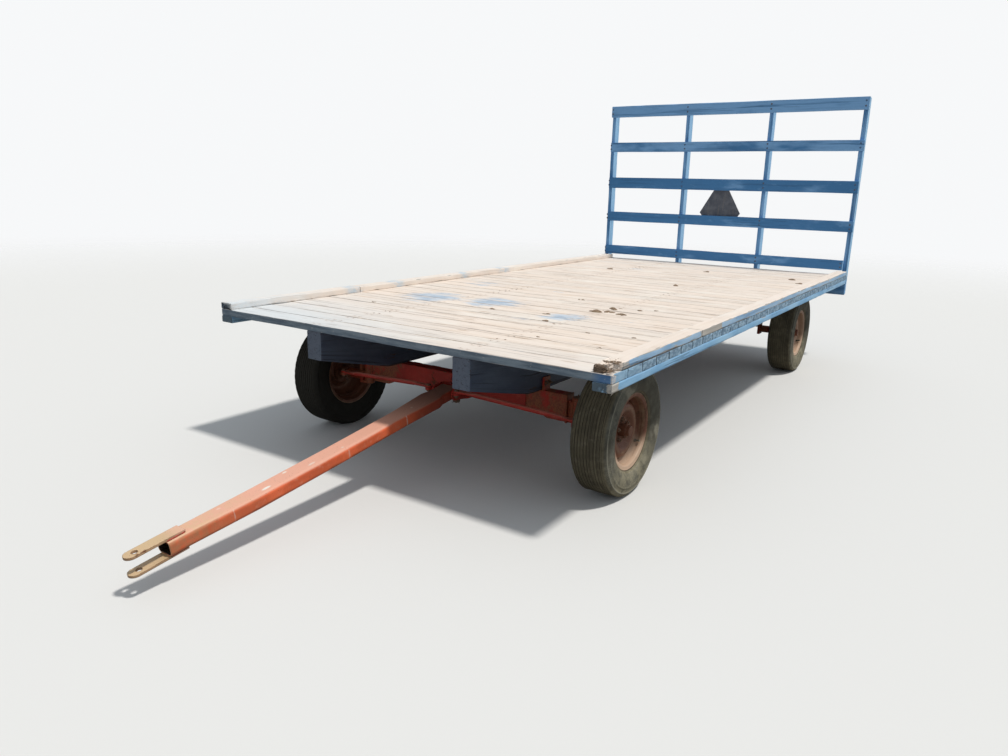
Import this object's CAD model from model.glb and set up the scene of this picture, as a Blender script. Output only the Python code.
"""Looks of the hay wagon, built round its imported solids.

Metres. +Z is up, +Y the rear of the wagon, -Y along its tongue and +X its left side.
"""
import math
import bmesh
import bpy
import numpy as np
from mathutils import Matrix, Vector


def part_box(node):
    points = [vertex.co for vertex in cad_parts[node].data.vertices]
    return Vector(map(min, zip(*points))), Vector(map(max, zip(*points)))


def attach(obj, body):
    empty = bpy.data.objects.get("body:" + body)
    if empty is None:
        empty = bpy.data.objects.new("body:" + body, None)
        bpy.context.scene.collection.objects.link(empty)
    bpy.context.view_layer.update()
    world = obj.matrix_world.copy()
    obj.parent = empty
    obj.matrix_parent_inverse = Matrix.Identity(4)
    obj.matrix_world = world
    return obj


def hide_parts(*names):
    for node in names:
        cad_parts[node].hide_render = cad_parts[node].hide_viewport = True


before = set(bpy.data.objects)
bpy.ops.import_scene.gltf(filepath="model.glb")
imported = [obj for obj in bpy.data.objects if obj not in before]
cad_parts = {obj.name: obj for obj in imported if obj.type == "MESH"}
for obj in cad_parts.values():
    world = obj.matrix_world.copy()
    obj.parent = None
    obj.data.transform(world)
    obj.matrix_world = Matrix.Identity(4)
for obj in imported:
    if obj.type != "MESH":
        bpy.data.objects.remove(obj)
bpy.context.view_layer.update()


def middle(node):
    """The middle of a node's box."""
    low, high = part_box(node)
    return (low + high) / 2


deck_low, deck_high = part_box("deck_planks")
FRONT_EDGE, REAR_EDGE = deck_low.y, deck_high.y
DECK_TOP, DECK_BOTTOM = deck_high.z, deck_low.z
HALF_WIDTH = deck_high.x
CURB_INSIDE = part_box("curb_left")[0].x
FRONT_AXLE_Y = middle("tyre_front_left").y
REAR_AXLE_Y = middle("tyre_rear_left").y

# Sizes that the frame's boxes don't give
PLANK_COUNT = 33
PLANK_WIDTH = 0.140
PLANK_PITCH = (REAR_EDGE - FRONT_EDGE - PLANK_WIDTH) / (PLANK_COUNT - 1)
HUB_HEIGHT = 0.330
TONGUE_SLOPE = math.radians(8)
TONGUE_DEPTH = 0.064
TONGUE_LENGTH = 1.700
TONGUE_HINGE = Vector((0, FRONT_EDGE + 0.500, DECK_TOP - 0.386))
TONGUE_FORWARD = Vector((0, -math.cos(TONGUE_SLOPE), -math.sin(TONGUE_SLOPE)))
TONGUE_UP = Vector((0, -math.sin(TONGUE_SLOPE), math.cos(TONGUE_SLOPE)))


def link(thing):
    """Puts a new object into the scene."""
    bpy.context.scene.collection.objects.link(thing)
    return thing


# Shader helpers

class Output:
    """What a shader node gives. Arithmetic with it adds maths nodes to its tree."""

    def __init__(self, node, name=0):
        self.socket = node.outputs[name]
        self.tree = node.id_data

    def __add__(self, other):
        return maths("ADD", self, other)

    def __sub__(self, other):
        return maths("SUBTRACT", self, other)

    def __rsub__(self, other):
        return maths("SUBTRACT", other, self)

    def __mul__(self, other):
        return maths("MULTIPLY", self, other)

    def __truediv__(self, other):
        return maths("DIVIDE", self, other)

    def __abs__(self):
        return maths("ABSOLUTE", self)


def add(tree, kind, inputs=None, **settings):
    """Adds a shader node whose inputs are outputs of other nodes or constants."""
    made = tree.nodes.new(f"ShaderNode{kind}")
    for key, value in settings.items():
        setattr(made, key, value)
    for key, value in (inputs or {}).items():
        socket = made.inputs[key]
        if isinstance(value, Output):
            tree.links.new(value.socket, socket)
        else:
            socket.default_value = (*value, 1) if socket.type == "RGBA" else value
    return made


def maths(operation, *values, kind="Math", output=0):
    """A maths node, in the tree of the first of its values that is an output."""
    tree = next(value.tree for value in values if isinstance(value, Output))
    return Output(add(tree, kind, dict(enumerate(values)), operation=operation), output)


def stretch(place, factors):
    return maths("MULTIPLY", place, factors, kind="VectorMath")


def dot(vector, other):
    return maths("DOT_PRODUCT", vector, other, kind="VectorMath", output="Value")


def mix(share, first, second):
    """A colour between two others; the node's colours are its inputs 6 and 7 and its output 2."""
    return Output(add(share.tree, "Mix", {0: share, 6: first, 7: second}, data_type="RGBA"), 2)


def layers(colour, *coats):
    """A colour with coats laid over it in turn, each a mask and a colour."""
    for mask, coat in coats:
        colour = mix(mask, colour, coat)
    return colour


def shade(colour, factor, lift=0.0):
    return [min(1, part * factor + lift) for part in colour]


def noise(place, scale, detail=4, rough=0.55, twist=0.0):
    """Cloudy noise; three scales stretch it along the axes."""
    if isinstance(scale, tuple):
        place, scale = stretch(place, scale), 1.0
    inputs = {"Vector": place, "Scale": scale, "Detail": detail, "Roughness": rough, "Distortion": twist}
    return Output(add(place.tree, "TexNoise", inputs))


def cells(place, scale, feature="F1"):
    """Distance from the middle of the nearest cell, or from its edge."""
    return Output(add(place.tree, "TexVoronoi", {"Vector": place, "Scale": scale}, feature=feature))


def band(value, low, high):
    """0 below low, 1 above high, smooth between; low above high turns it over."""
    inputs = {"Value": value, "From Min": low, "From Max": high}
    return Output(add(value.tree, "MapRange", inputs, interpolation_type="SMOOTHSTEP"))


def span(value, low, high):
    """low where a value is 0, high where it is 1."""
    return Output(add(value.tree, "MapRange", {"Value": value, "To Min": low, "To Max": high}))


def bump(height, distance, strength=1.0, normal=None):
    inputs = {"Height": height, "Distance": distance, "Strength": strength}
    if normal:
        inputs["Normal"] = normal
    return Output(add(height.tree, "Bump", inputs))


def attribute(tree, name, output="Fac"):
    return Output(add(tree, "Attribute", attribute_name=name), output)


def geometry(tree, name="Normal"):
    return Output(add(tree, "NewGeometry"), name)


def object_place(tree):
    return Output(add(tree, "TexCoord"), "Object")


def worn_edges(tree, radius):
    """The normal with its edges rounded, and how far it leaves the true one, 0 to 1."""
    rounded = Output(add(tree, "Bevel", {"Radius": radius}, samples=4))
    return rounded, band(dot(rounded, geometry(tree, "True Normal")), 0.995, 0.86)


def new_material(name):
    """An empty material and its node tree."""
    material = bpy.data.materials.new(name)
    material.use_nodes = True
    material.node_tree.nodes.clear()
    return material, material.node_tree


MATERIALS = {}


def make_material(name, recipe, *colours, **settings):
    """Keeps a material whose surface takes the inputs that a recipe works out."""
    MATERIALS[name], tree = new_material(name)
    surface = add(tree, "BsdfPrincipled", recipe(tree, *colours, **settings))
    add(tree, "OutputMaterial", {"Surface": Output(surface)})


# Camera, light and floor

def make_camera():
    """The photograph's viewpoint, solved from the deck's corners and the rack."""
    yaw, pitch, roll = math.radians(33.57), math.radians(14.26), math.radians(1.47)
    offset_from_front_edge = Vector((2.438, -2.604, 0.702))
    forward = Vector((-math.sin(yaw) * math.cos(pitch), math.cos(yaw) * math.cos(pitch), -math.sin(pitch)))
    level_right = Vector((math.cos(yaw), math.sin(yaw), 0))
    level_up = level_right.cross(forward)
    right = level_right * math.cos(roll) + level_up * math.sin(roll)
    up = right.cross(forward)
    data = bpy.data.cameras.new("camera")
    data.sensor_width = 36
    data.lens = 26.74
    data.clip_end = 200
    camera = link(bpy.data.objects.new("camera", data))
    turn = Matrix((right, up, -forward)).transposed().to_4x4()
    place = Vector((0, FRONT_EDGE, DECK_TOP)) + offset_from_front_edge
    camera.matrix_world = Matrix.Translation(place) @ turn
    bpy.context.scene.camera = camera


def make_light():
    """A broad key lamp high on the wagon's left and a pale sky."""
    elevation, towards_rear = math.radians(66), math.radians(6)
    lamp = bpy.data.lights.new("key", "SUN")
    lamp.energy = 2.35
    lamp.angle = math.radians(5)
    lamp.color = (1.0, 0.965, 0.91)
    key = link(bpy.data.objects.new("key", lamp))
    level = math.cos(elevation)
    towards = Vector((level * math.cos(towards_rear), level * math.sin(towards_rear), math.sin(elevation)))
    key.rotation_mode = "QUATERNION"
    key.rotation_quaternion = towards.to_track_quat("Z", "Y")

    world = bpy.data.worlds.new("sky")
    bpy.context.scene.world = world
    world.use_nodes = True
    tree = world.node_tree
    tree.nodes.clear()
    path = add(tree, "LightPath")
    seen = maths("MAXIMUM", Output(path, "Is Camera Ray"), Output(path, "Is Glossy Ray"))
    light = add(tree, "Background", {"Color": (0.86, 0.93, 1.0), "Strength": 0.42})
    backdrop = add(tree, "Background", {"Color": (0.93, 0.94, 0.95), "Strength": 1.0})
    shown = add(tree, "MixShader", {0: seen, 1: Output(light), 2: Output(backdrop)})
    add(tree, "OutputWorld", {"Surface": Output(shown)})


def make_floor():
    """A pale matt floor that fades into the backdrop far out."""
    half, fade_from, fade_to = 30.0, 7.0, 19.6
    mesh = bpy.data.meshes.new("floor")
    corners = [(-half, -half, 0), (half, -half, 0), (half, half, 0), (-half, half, 0)]
    mesh.from_pydata(corners, [], [(0, 1, 2, 3)])
    floor = link(bpy.data.objects.new("floor", mesh))
    material, tree = new_material("floor")
    seen = Output(add(tree, "LightPath"), "Is Camera Ray")
    colour = mix(seen, (0.30, 0.29, 0.27), (0.80, 0.80, 0.79))
    matt = {"Base Color": colour, "Roughness": 0.9, "Specular IOR Level": 0.1}
    surface = add(tree, "BsdfPrincipled", matt)
    far = maths("LENGTH", geometry(tree, "Position"), kind="VectorMath", output="Value")
    hidden = band(far, fade_from, fade_to) * seen
    clear = add(tree, "BsdfTransparent")
    shown = add(tree, "MixShader", {0: hidden, 1: Output(surface), 2: Output(clear)})
    add(tree, "OutputMaterial", {"Surface": Output(shown)})
    mesh.materials.append(material)


# Wood

# Nails lie at these distances from the wagon's middle, the last two rows under the curbs
NAIL_ROWS = (0.455, 0.495, 1.155, 1.195)
NAIL_FROM_MIDDLE = 0.045
HAZE_BLUE = (0.70, 0.77, 0.82)


def board_grain(tree):
    """A board's own tone, and coordinates along, across and through it that no two boards share."""
    tone = attribute(tree, "tone")
    shift = Output(add(tree, "CombineXYZ", {"X": tone * 37.0, "Y": tone * 11.0, "Z": tone * 5.0}))
    return tone, maths("ADD", attribute(tree, "place", "Vector"), shift, kind="VectorMath")


def wood_fibres(grain):
    """Fine fibres, broad growth bands and long checks that run along a board."""
    fibres = noise(grain, (6, 240, 240), 5, 0.65)
    bands = noise(grain, (1.3, 26, 26), 3, twist=0.6)
    checks = noise(grain, (1.6, 95, 60), 2, 0.4, 0.3)
    return fibres, bands, band(checks, 0.635, 0.685)


def cream_wood(tone, grain, fibres, bands):
    """The colour of bare planks that the sun has bleached."""
    return layers(
        mix(band(bands, 0.30, 0.70), (0.865, 0.745, 0.645), (0.915, 0.81, 0.725)),
        (band(tone, 0.15, 1.0) * 0.45, (0.80, 0.745, 0.69)),
        (band(fibres, 0.52, 0.74) * 0.34, (0.66, 0.53, 0.43)),
        (band(noise(grain, (2.2, 5, 5), 3), 0.50, 0.72), (0.92, 0.85, 0.77)),
    )


def nail_halo(place):
    """A mask round each nail of a deck plank."""
    parts = add(place.tree, "SeparateXYZ", {0: place})
    along, across = abs(Output(parts, "X")), abs(Output(parts, "Y"))
    near = abs(along - NAIL_ROWS[0])
    for row in NAIL_ROWS[1:]:
        near = maths("MINIMUM", near, abs(along - row))
    near, side = near * 0.45, across - NAIL_FROM_MIDDLE
    return band(maths("SQRT", near * near + side * side), 0.011, 0.002)


def deck_wood(tree):
    """Bare, sun-bleached planks with blue paint left in patches and on their outer faces."""
    tone, grain = board_grain(tree)
    fibres, bands, checks = wood_fibres(grain)
    tan = noise(grain, (3.9, 11.7, 11.7))
    knots = band(cells(stretch(grain, (1.9, 8.5, 4.0)), 1.0), 0.115, 0.055)
    flakes = noise(grain, (9, 70, 70), 6, 0.72)
    ragged = noise(grain, (3.5, 26, 26), 5, 0.7)
    paint = band(attribute(tree, "paint") + (flakes * 0.7 + ragged), 1.18, 1.44)
    blue = mix(band(noise(grain, 9.0), 0.42, 0.60), (0.34, 0.49, 0.66), (0.54, 0.66, 0.79))
    dirt = noise(grain, (10, 32, 32), 6, 0.7)
    streak = noise(grain, (7, 30, 60), 5, 0.6)
    broad = band(streak, 0.35, 0.65)
    coat = layers(
        mix(broad, (0.150, 0.200, 0.260), (0.275, 0.345, 0.410)),
        (
            band(attribute(tree, "end"), 0.4, 0.6),
            mix(band(streak, 0.40, 0.62), (0.180, 0.285, 0.405), (0.385, 0.555, 0.700)),
        ),
        (attribute(tree, "fresh"), mix(broad, (0.080, 0.180, 0.370), (0.140, 0.270, 0.500))),
        (attribute(tree, "bright"), (0.35, 0.57, 0.78)),
        (band(noise(grain, (40, 90, 90), rough=0.6), 0.63, 0.70), (0.55, 0.57, 0.57)),
    )
    colour = layers(
        cream_wood(tone, grain, fibres, bands),
        (band(tan, 0.56, 0.78) * 0.6, (0.79, 0.61, 0.47)),
        (knots * 0.6, (0.50, 0.34, 0.22)),
        (checks * 0.55, (0.36, 0.27, 0.21)),
        (paint * 0.80, blue),
        (attribute(tree, "haze") * 0.80, HAZE_BLUE),
        (nail_halo(attribute(tree, "place", "Vector")) * 0.4, (0.44, 0.27, 0.17)),
        (band(dirt, 0.58, 0.74) * attribute(tree, "dirt"), (0.42, 0.31, 0.22)),
        (attribute(tree, "wear") * 0.20, (0.48, 0.41, 0.35)),
        (band(attribute(tree, "coat") + flakes * 0.5, 0.62, 0.72), coat),
    )
    return {
        "Base Color": colour,
        "Roughness": span(fibres, 0.72, 0.95),
        "Specular IOR Level": 0.25,
        "Normal": bump(fibres - checks * 1.6 + paint * 0.25, 0.0020),
    }


def painted_wood(tree, paint, light, dark, bare, keep, cream=False, end_coat=None, cracks=0.6):
    """Old paint on boards: chalky in places, flaked along the grain and off the corners."""
    tone, grain = board_grain(tree)
    fibres, bands, checks = wood_fibres(grain)
    fade, wear = attribute(tree, "fade"), attribute(tree, "wear")
    cloud = noise(grain, (2.4, 8, 8)) + fade
    streak = noise(grain, (1.1, 34, 34), rough=0.6)
    chalk = noise(grain, (9, 22, 22), 6, 0.7)
    flakes = noise(grain, (7, 60, 60), 6, 0.72)
    spots = noise(grain, (30, 60, 60), 3)
    wood = mix(band(bands, 0.3, 0.7), bare, shade(bare, 0.62))
    wood = mix(band(fibres, 0.5, 0.75), wood, shade(bare, 0.4))
    coat = layers(
        mix(band(cloud, 0.36, 0.62), paint, light),
        (band(streak, 0.52, 0.74), dark),
        (band(chalk, 0.56, 0.76) * 0.28, shade(light, 1.35, 0.05)),
        (band(fade, 0.30, 0.50) * 0.7, shade(light, 1.3, 0.12)),
    )
    hold = attribute(tree, "paint") + flakes * 0.8 - wear * 0.30 - spots * 0.12
    painted = band(hold, keep, keep + 0.05)
    colour = mix(painted, wood, coat)
    if end_coat:
        kept = band(attribute(tree, "end"), 0.4, 0.6) * band(flakes, 0.30, 0.36)
        scuff = band(wear, 0.80, 1.0) * band(flakes, 0.50, 0.62)
        colour = mix(kept, colour, mix(band(chalk, 0.5, 0.75), end_coat, light))
        colour = mix(scuff * 0.45, colour, (0.36, 0.37, 0.37))
    colour = mix(checks * cracks, colour, shade(dark, 0.35))
    if cream:
        bared = band(attribute(tree, "cream") + flakes * 0.5, 0.72, 0.86)
        tint = band(attribute(tree, "tint") + flakes, 0.75, 1.45) * band(chalk, 0.36, 0.56)
        haze = attribute(tree, "haze") * band(chalk, 0.25, 0.60)
        colour = mix(bared, colour, cream_wood(tone, grain, fibres, bands))
        colour = layers(colour, (tint * 0.75, (0.46, 0.61, 0.74)), (haze, HAZE_BLUE))
    dust = attribute(tree, "dirt") * band(chalk, 0.25, 0.50)
    return {
        "Base Color": mix(dust, colour, (0.23, 0.165, 0.12)),
        "Roughness": span(painted, 0.9, 0.55),
        "Specular IOR Level": 0.3,
        "Normal": bump(fibres + painted * 0.5 - checks * 1.2, 0.0012),
    }


def packed_dirt(tree):
    """Chaff and soil trodden into the gaps, and what lies on the planks."""
    place = object_place(tree)
    grit = noise(place, 55.0, 7, 0.7)
    chaff = noise(place, (30, 260, 60), 3)
    colour = mix(band(grit, 0.35, 0.65), (0.36, 0.28, 0.215), (0.72, 0.61, 0.50))
    colour = mix(band(chaff, 0.60, 0.68), colour, (0.66, 0.54, 0.36))
    normal = bump(grit, 0.0030)
    return {"Base Color": colour, "Roughness": 0.95, "Specular IOR Level": 0.15, "Normal": normal}


def torn_wood(tree):
    """Rotten fibres, dark in the hollows and pale where they broke last."""
    grit = noise(object_place(tree), 160.0, 5, 0.7)
    mottled = band(grit, 0.35, 0.65)
    brown = mix(mottled, (0.14, 0.095, 0.065), (0.34, 0.25, 0.18))
    pale = mix(mottled, (0.62, 0.56, 0.49), (0.80, 0.77, 0.72))
    colour = mix(band(attribute(tree, "tone"), 0.55, 0.90), brown, pale)
    normal = bump(grit, 0.0012)
    return {"Base Color": colour, "Roughness": 0.92, "Specular IOR Level": 0.15, "Normal": normal}


# Steel and rubber

RUST = (0.21, 0.075, 0.032)
RUST_DARK = (0.080, 0.034, 0.020)
# Pale drips down the tongue's sides: distance from its hinge, half width, strength
TONGUE_DRIPS = ((0.385, 0.005, 0.60), (0.79, 0.006, 0.35), (1.42, 0.004, 0.45))
# Pale splashes on its top: distance from its hinge, x, half sizes, strength
TONGUE_SPLASHES = (
    (1.236, 0.019, 0.026, 0.010, 0.95),
    (1.101, -0.023, 0.012, 0.007, 0.80),
    (0.985, 0.020, 0.024, 0.009, 0.50),
    (0.800, 0.024, 0.008, 0.007, 0.45),
    (0.300, 0.016, 0.008, 0.006, 0.40),
    (1.446, -0.010, 0.010, 0.006, 0.35),
)
# How far the edges of the tongue's marks wander
SWAY = 0.012


def tongue_place(place):
    """Distance along the tongue from its hinge, and height above its axis."""
    since_hinge = maths("SUBTRACT", place, TONGUE_HINGE, kind="VectorMath")
    return dot(since_hinge, TONGUE_FORWARD), dot(since_hinge, TONGUE_UP)


def tongue_marks(place, colour, **_):
    """Grime near the tongue's hinge, mud at its front, pale drips and splashes, and its dark inside."""
    along, height = tongue_place(place)
    x, normal = dot(place, (1, 0, 0)), geometry(place.tree)
    facing_x, facing_up = dot(normal, (1, 0, 0)), dot(normal, TONGUE_UP)
    on_side, on_top = band(abs(facing_x), 0.6, 0.8), band(facing_up, 0.6, 0.8)
    wobble, blotch = noise(place, 40.0), noise(place, 11.0, 5, 0.6)
    reach = along + wobble * SWAY
    grime = mix(on_side, (0.105, 0.042, 0.032), (0.200, 0.028, 0.018))
    mud = mix(on_side, (0.72, 0.48, 0.29), (0.50, 0.215, 0.105))
    muddy = band(reach + blotch * 0.5, 1.45, 1.95) * band(wobble, 0.15, 0.75)
    low_edge = band(height, -0.016, -0.030) * band(blotch, 0.42, 0.62)
    colour = layers(
        colour,
        (band(reach, 0.55, 0.08) * 0.80, grime),
        (muddy, mud),
        (low_edge * 0.55, (0.22, 0.075, 0.035)),
    )
    for spot, half, strength in TONGUE_DRIPS:
        far = abs(reach - (spot + SWAY / 2))
        drip = band(far, half, half * 0.3) * band(wobble, 0.36, 0.52) * on_side
        colour = mix(drip * strength, colour, (0.84, 0.70, 0.60))
    for spot, beside, half_along, half_x, strength in TONGUE_SPLASHES:
        far_along, far_x = (reach - (spot + SWAY / 2)) / half_along, (x - beside) / half_x
        splash = band(far_along * far_along + far_x * far_x + wobble * 1.6, 1.8, 1.1) * on_top
        colour = mix(splash * strength, colour, (0.90, 0.84, 0.76))
    outwards = facing_x * x + facing_up * height
    return mix(band(outwards, -0.006, -0.016), colour, (0.020, 0.013, 0.010))


def strap_coat(place, colour, **_):
    """Paint and dust run from the tongue over the welded end of each strap."""
    ragged = tongue_place(place)[0] + noise(place, 45.0) * 0.05
    over = band(ragged, TONGUE_LENGTH + 0.04, TONGUE_LENGTH - 0.06)
    return mix(over * 0.85, colour, (0.80, 0.47, 0.34))


def beam_mud(place, colour, blotch, grit, **_):
    """Mud thrown by the wheels over what stands outside the axle's side plates."""
    outside = band(abs(dot(place, (1, 0, 0))), CHEEK_HALF, CHEEK_HALF + 0.004)
    mud = mix(band(grit, 0.35, 0.65), (0.34, 0.13, 0.055), (0.19, 0.060, 0.030))
    return mix(outside * (band(blotch, 0.38, 0.52) * 0.85), colour, mud)


def wheel_dust(place, colour, blotch, chalk, **_):
    """Dust caught on a wheel's ridges and settled low on it."""
    ridge = attribute(place.tree, "ridge") * band(chalk, 0.30, 0.60)
    settled = band(attribute(place.tree, "dust") + blotch * 0.5, 0.35, 1.1)
    return layers(colour, (ridge * 0.65, (0.42, 0.30, 0.20)), (settled * 0.9, (0.64, 0.455, 0.325)))


def old_paint(tree, paint, faded, bared, rust=RUST, fade_up=0.0, round_off=0.004, marks=None):
    """Sun-faded paint on steel, with rust through it and along its edges."""
    place = object_place(tree)
    rounded, edges = worn_edges(tree, round_off)
    cloud = noise(place, 6.0, 5, 0.6)
    chalk = noise(place, 28.0, 6, 0.7)
    blotch = noise(place, 9.0, 8, 0.68, 0.3)
    grit = noise(place, 120.0, 5, 0.7)
    speckle = noise(place, 210.0, 2)
    upwards = band(dot(geometry(tree), (0, 0, 1)) + cloud * 0.35, 0.50, 1.0)
    bare = band(blotch + edges * 0.16, bared, bared + 0.06)
    colour = layers(
        mix(band(cloud, 0.35, 0.65), paint, shade(paint, 0.74)),
        (upwards * fade_up, faded),
        (band(chalk, 0.52, 0.76) * 0.35, faded),
        (bare, mix(band(grit, 0.35, 0.65), rust, RUST_DARK)),
        (band(speckle, 0.66, 0.74) * 0.7, RUST_DARK),
    )
    if marks:
        colour = marks(place, colour, blotch=blotch, grit=grit, chalk=chalk)
    return {
        "Base Color": colour,
        "Roughness": span(bare, 0.48, 0.88),
        "Specular IOR Level": 0.35,
        "Normal": bump(bare * -0.6 + grit * 0.5, 0.0012, 0.8, rounded),
    }


def rubber(tree):
    """Perished rubber: fine ribs of dusty tread, a scrubbed shoulder and stained walls."""
    place, wall = object_place(tree), attribute(tree, "wall")
    cloud = noise(place, 7.0, 6, 0.65)
    scuff = noise(place, 22.0, 7, 0.75, 0.4)
    stain = noise(place, 4.2, 3, 0.5, 0.6)
    dark_stain = noise(place, 8.5, rough=0.6, twist=0.5)
    across = Output(add(tree, "CombineXYZ", {"X": attribute(tree, "across")}))
    fine_ribs = noise(across, 150.0)
    rib_shade = band(fine_ribs, 0.42, 0.60) * band(noise(place, 12.0, 5, 0.7), 0.30, 0.62)
    tread = mix(band(cloud, 0.35, 0.65), (0.110, 0.098, 0.066), (0.200, 0.178, 0.120))
    tread = mix(rib_shade * 0.75, tread, (0.048, 0.040, 0.030))
    side = mix(band(cloud, 0.38, 0.68), (0.082, 0.077, 0.060), (0.175, 0.172, 0.140))
    side = mix(band(dark_stain, 0.56, 0.66) * 0.55, side, (0.040, 0.043, 0.040))
    cracked = band(cells(place, 95.0, "DISTANCE_TO_EDGE"), 0.055, 0.015) * band(cloud, 0.4, 0.7)
    colour = layers(
        mix(wall, tread, side),
        (band(scuff, 0.54, 0.75) * 0.5, (0.27, 0.245, 0.185)),
        (band(stain, 0.56, 0.66) * wall * 0.6, (0.36, 0.335, 0.265)),
        (attribute(tree, "dust") * band(scuff, 0.28, 0.60), (0.42, 0.38, 0.26)),
        (attribute(tree, "black"), (0.016, 0.016, 0.014)),
        (attribute(tree, "groove") * 0.45, (0.040, 0.034, 0.026)),
        (attribute(tree, "ridge") * band(scuff, 0.30, 0.50) * 0.8, (0.33, 0.315, 0.255)),
        (cracked * 0.5, (0.03, 0.028, 0.025)),
    )
    relief = noise(place, 260.0, 3) - cracked - fine_ribs * (1.0 - wall) * 1.5
    normal = bump(relief, 0.0010)
    return {"Base Color": colour, "Roughness": 0.86, "Specular IOR Level": 0.25, "Normal": normal}


def bare_steel(tree, colour, rust, metal=0.35, rough=0.6, scale=60.0, relief=0.0006):
    cloud = noise(object_place(tree), scale, 6, 0.7)
    colour = mix(band(cloud, 0.4, 0.62), colour, rust)
    return {"Base Color": colour, "Metallic": metal, "Roughness": rough, "Normal": bump(cloud, relief)}


def emblem_back(tree):
    """The unpainted back of the emblem's plate, grey and stained."""
    place = object_place(tree)
    cloud, runs = noise(place, 14.0, 6, 0.65), noise(place, (40, 1, 3), 3)
    colour = mix(band(cloud, 0.35, 0.7), (0.062, 0.072, 0.096), (0.118, 0.132, 0.160))
    colour = mix(band(runs, 0.5, 0.7) * 0.4, colour, (0.17, 0.165, 0.16))
    return {"Base Color": colour, "Metallic": 0.3, "Roughness": 0.55}


def emblem_sheet(tree):
    """A blank orange sheet with a dark red border, faded by the sun."""
    faded = band(noise(object_place(tree), 20.0, 5), 0.35, 0.7)
    orange = mix(faded, (0.86, 0.20, 0.03), (0.90, 0.36, 0.12))
    red = mix(faded, (0.36, 0.03, 0.025), (0.50, 0.10, 0.07))
    return {"Base Color": mix(band(attribute(tree, "inside"), 0.48, 0.52), red, orange), "Roughness": 0.45}


def make_materials():
    make_material("bleached_planks", deck_wood)
    make_material("packed_dirt", packed_dirt)
    make_material("torn_wood", torn_wood)
    # paint, its light and dark parts, the wood under it
    make_material(
        "faded_blue_boards", painted_wood, (0.29, 0.50, 0.75), (0.45, 0.65, 0.86), (0.17, 0.31, 0.52),
        (0.64, 0.61, 0.56), keep=0.78, cream=True, end_coat=(0.040, 0.047, 0.055), cracks=0.4,
    )
    make_material(
        "sunlit_blue_boards", painted_wood, (0.23, 0.48, 0.76), (0.37, 0.63, 0.88), (0.14, 0.30, 0.54),
        (0.64, 0.61, 0.56), keep=0.76, end_coat=(0.11, 0.16, 0.205), cracks=0.4,
    )
    make_material(
        "dark_blue_beams", painted_wood, (0.058, 0.080, 0.128), (0.090, 0.118, 0.172), (0.031, 0.038, 0.058),
        (0.115, 0.085, 0.080), keep=0.80, end_coat=(0.130, 0.160, 0.215),
    )
    make_material(
        "blue_boards", painted_wood, (0.060, 0.215, 0.47), (0.22, 0.46, 0.80), (0.042, 0.150, 0.340),
        (0.36, 0.33, 0.29), keep=0.66, cracks=0.25,
    )
    # paint and what it fades to
    make_material(
        "red_paint", old_paint, (0.50, 0.034, 0.022), (0.56, 0.13, 0.08), bared=0.64, marks=beam_mud
    )
    make_material(
        "rod_paint", old_paint, (0.52, 0.045, 0.030), (0.64, 0.25, 0.19), bared=0.68, fade_up=0.7
    )
    make_material(
        "tongue_paint", old_paint, (0.95, 0.185, 0.072), (0.83, 0.46, 0.34), rust=(0.42, 0.20, 0.12),
        bared=0.68, fade_up=0.9, marks=tongue_marks,
    )
    make_material(
        "clevis_rust", old_paint, (0.54, 0.34, 0.20), (0.68, 0.50, 0.29), bared=0.58, fade_up=0.75,
        marks=strap_coat,
    )
    make_material(
        "rusty_wheel", old_paint, (0.185, 0.070, 0.038), (0.33, 0.20, 0.13), rust=(0.15, 0.065, 0.035),
        bared=0.56, round_off=0.002, marks=wheel_dust,
    )
    make_material("tyre_rubber", rubber)
    # steel or its paint, and the rust on it
    make_material("old_bolts", bare_steel, (0.17, 0.13, 0.10), (0.20, 0.09, 0.045))
    make_material("painted_welds", bare_steel, (0.40, 0.035, 0.024), (0.19, 0.07, 0.035))
    make_material("painted_bolt_heads", bare_steel, (0.045, 0.13, 0.28), (0.12, 0.10, 0.09))
    make_material(
        "dry_clods", bare_steel, (0.20, 0.13, 0.085), (0.36, 0.27, 0.18), metal=0.0, rough=0.95, scale=140.0,
        relief=0.0015,
    )
    make_material("emblem_back", emblem_back)
    make_material("emblem_sheet", emblem_sheet)


# Mesh helpers: a shape is (vertices, faces, values), the values by name with one entry per vertex

def finish_mesh(name, shape, material, replaced=None, body="wagon_frame", sharp=50):
    """Makes a piece from a shape, turns its faces outwards and hands it to its body."""
    vertices, faces, values = shape
    mesh = bpy.data.meshes.new(name)
    mesh.from_pydata([tuple(v) for v in vertices], [], faces)
    for key, data in values.items():
        data = np.asarray(data, float)
        kind, field = ("FLOAT_VECTOR", "vector") if data.ndim == 2 else ("FLOAT", "value")
        mesh.attributes.new(key, kind, "POINT").data.foreach_set(field, data.ravel())
    work = bmesh.new()
    work.from_mesh(mesh)
    bmesh.ops.recalc_face_normals(work, faces=work.faces)
    work.to_mesh(mesh)
    work.free()
    mesh.polygons.foreach_set("use_smooth", [True] * len(mesh.polygons))
    mesh.set_sharp_from_angle(angle=math.radians(sharp))
    mesh.materials.append(MATERIALS[material])
    piece = link(bpy.data.objects.new(name, mesh))
    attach(piece, body)
    if replaced:
        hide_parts(replaced)
    return piece


def dress(names, material):
    """Gives CAD nodes a finished material in every slot."""
    for name in names:
        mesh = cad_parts[name].data
        mesh.materials.clear()
        mesh.materials.append(MATERIALS[material])
        for polygon in mesh.polygons:
            polygon.material_index = 0


def join(shapes):
    """Several shapes with the same values as one."""
    faces, start = [], 0
    for vertices, shape_faces, _ in shapes:
        faces.extend(tuple(i + start for i in face) for face in shape_faces)
        start += len(vertices)
    values = {key: np.concatenate([shape[2][key] for shape in shapes]) for key in shapes[0][2]}
    return np.concatenate([shape[0] for shape in shapes]), faces, values


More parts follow.
